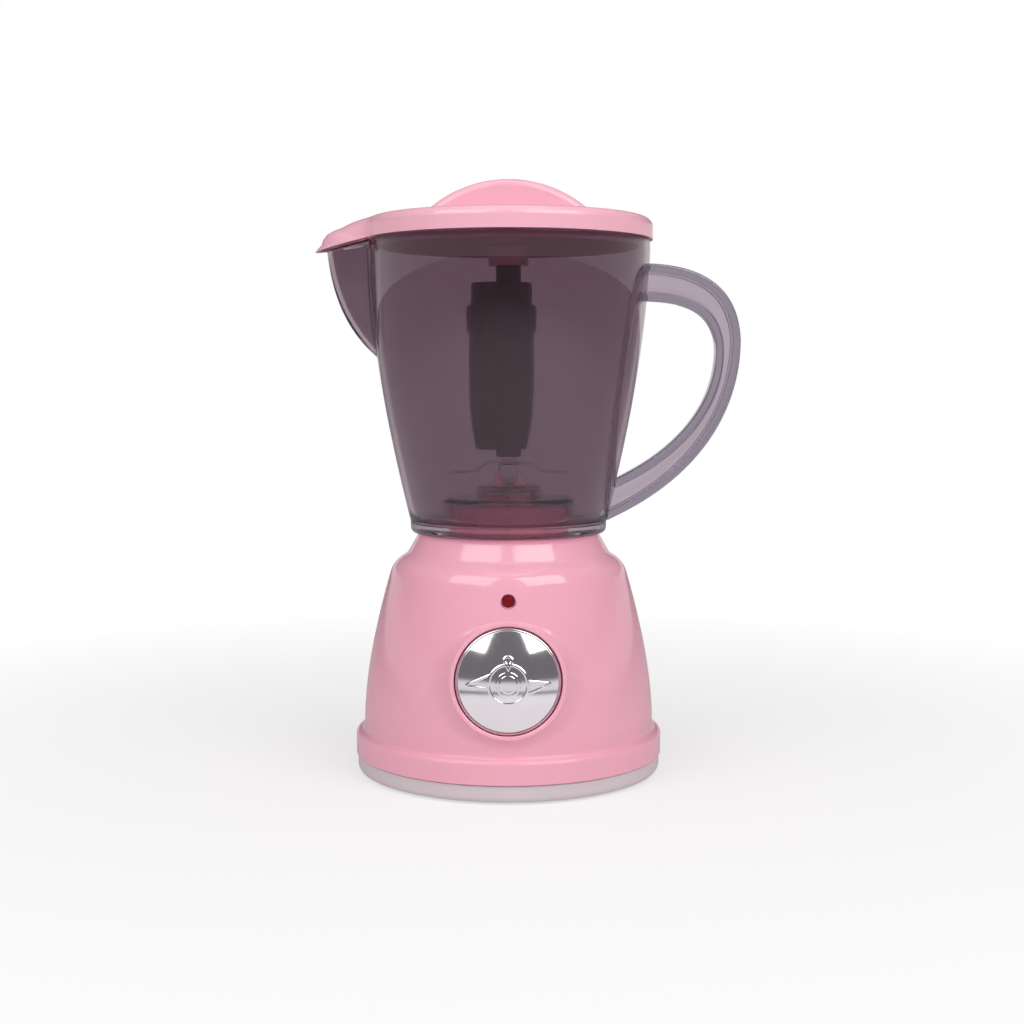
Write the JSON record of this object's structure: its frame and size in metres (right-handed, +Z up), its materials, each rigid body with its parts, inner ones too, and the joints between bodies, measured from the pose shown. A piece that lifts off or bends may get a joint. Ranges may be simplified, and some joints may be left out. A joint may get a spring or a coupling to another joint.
{
  "type": "toy blender",
  "caption": "Toy countertop blender with a spouted jar, lift-off lid, handle, blades, drive gears and a rotary switch on a bell-shaped battery base.",
  "frame": {"origin": "on the floor the feet stand on, on the shared vertical axis of base, jar and lid", "axes": "+Z up, -Y to the front where the knob is, +X to the handle, -X to the spout"},
  "size_m": [0.1685, 0.1228, 0.2348],
  "materials": {
    "pink_plastic": "gloss",
    "lid_pink_plastic": "gloss",
    "white_plastic": "satin",
    "smoke_clear": "gloss",
    "dark_smoke": "gloss",
    "dark_plastic": "gloss",
    "chrome_plating": "polished",
    "blade_metal": "brushed",
    "steel_metal": "satin",
    "bright_metal": "satin",
    "brass_metal": "satin",
    "green_board": "satin",
    "red_lens": "gloss",
    "black_plastic": "satin",
    "natural_plastic": "satin",
    "cell_skin": "gloss"
  },
  "bodies": {
    "base": {"base_shell": "pink_plastic", "base_plate": "white_plastic", "case_screw_1": "steel_metal", "case_screw_2": "steel_metal", "case_screw_3": "steel_metal", "case_screw_4": "steel_metal", "battery_1": "cell_skin", "battery_2": "cell_skin", "battery_spring_1": "steel_metal", "battery_spring_2": "steel_metal", "contact_bridge": "steel_metal", "contact_negative": "steel_metal", "contact_positive": "steel_metal", "circuit_board": "green_board", "lamp_lens": "red_lens", "lamp_holder": "black_plastic", "selector_switch": "black_plastic", "gearbox_case": "white_plastic", "gearbox_cover": "white_plastic", "gearbox_screw_1": "steel_metal", "gearbox_screw_2": "steel_metal", "gearbox_screw_3": "steel_metal", "idler_pin": "steel_metal", "motor_can": "bright_metal", "motor_end_cap": "white_plastic", "motor_terminal_1": "brass_metal", "motor_terminal_2": "brass_metal", "drive_bush": "natural_plastic"},
    "knob": {"knob_cap": "chrome_plating", "knob_shaft": "natural_plastic"},
    "battery_cover": {"battery_door": "white_plastic", "battery_door_screw": "steel_metal"},
    "rotor": {"motor_shaft": "steel_metal", "motor_pinion": "brass_metal"},
    "idler": {"compound_gear": "natural_plastic"},
    "drive": {"output_gear": "natural_plastic", "drive_shaft": "steel_metal", "drive_coupling": "pink_plastic"},
    "jar": {"jar_shell": "smoke_clear", "jar_handle": "smoke_clear", "blade_bush": "natural_plastic"},
    "blades": {"blade_hub": "lid_pink_plastic", "upper_blade": "blade_metal", "lower_blade": "blade_metal", "blade_shaft": "steel_metal", "blade_coupling": "white_plastic"},
    "lid": {"lid_shell": "lid_pink_plastic", "plunger_rod": "dark_plastic", "strainer_sleeve": "dark_smoke"}
  },
  "joints": [
    {"name": "knob_turn", "type": "hinge", "parent": "base", "child": "knob", "pos_m": [0, -0.0558, 0.0454], "axis": [0, 0.9863, -0.165], "range_deg": [0, 90]},
    {"name": "battery_door_slide", "type": "slide", "parent": "base", "child": "battery_cover", "axis": [0, 0, -1], "range_m": [0, 0.025]},
    {"name": "drive_spin", "type": "hinge", "parent": "base", "child": "drive", "pos_m": [0, 0, 0.08], "axis": [0, 0, 1], "continuous": true},
    {"name": "idler_spin", "type": "hinge", "parent": "base", "child": "idler", "pos_m": [-0.00964, 0.01376, 0.066], "axis": [0, 0, 1], "continuous": true},
    {"name": "motor_spin", "type": "hinge", "parent": "base", "child": "rotor", "pos_m": [0, 0.02752, 0.06], "axis": [0, 0, 1], "continuous": true},
    {"name": "jar_lift", "type": "slide", "parent": "base", "child": "jar", "axis": [0, 0, 1], "range_m": [0, 0.03]},
    {"name": "blade_spin", "type": "hinge", "parent": "jar", "child": "blades", "pos_m": [0, 0, 0.115], "axis": [0, 0, 1], "continuous": true},
    {"name": "lid_lift", "type": "slide", "parent": "jar", "child": "lid", "axis": [0, 0, 1], "range_m": [0, 0.09]}
  ],
  "couplings": [
    {"joint": "idler_spin", "follows": "drive_spin", "ratio": -3},
    {"joint": "motor_spin", "follows": "drive_spin", "ratio": 9},
    {"joint": "blade_spin", "follows": "drive_spin", "ratio": 1}
  ]
}
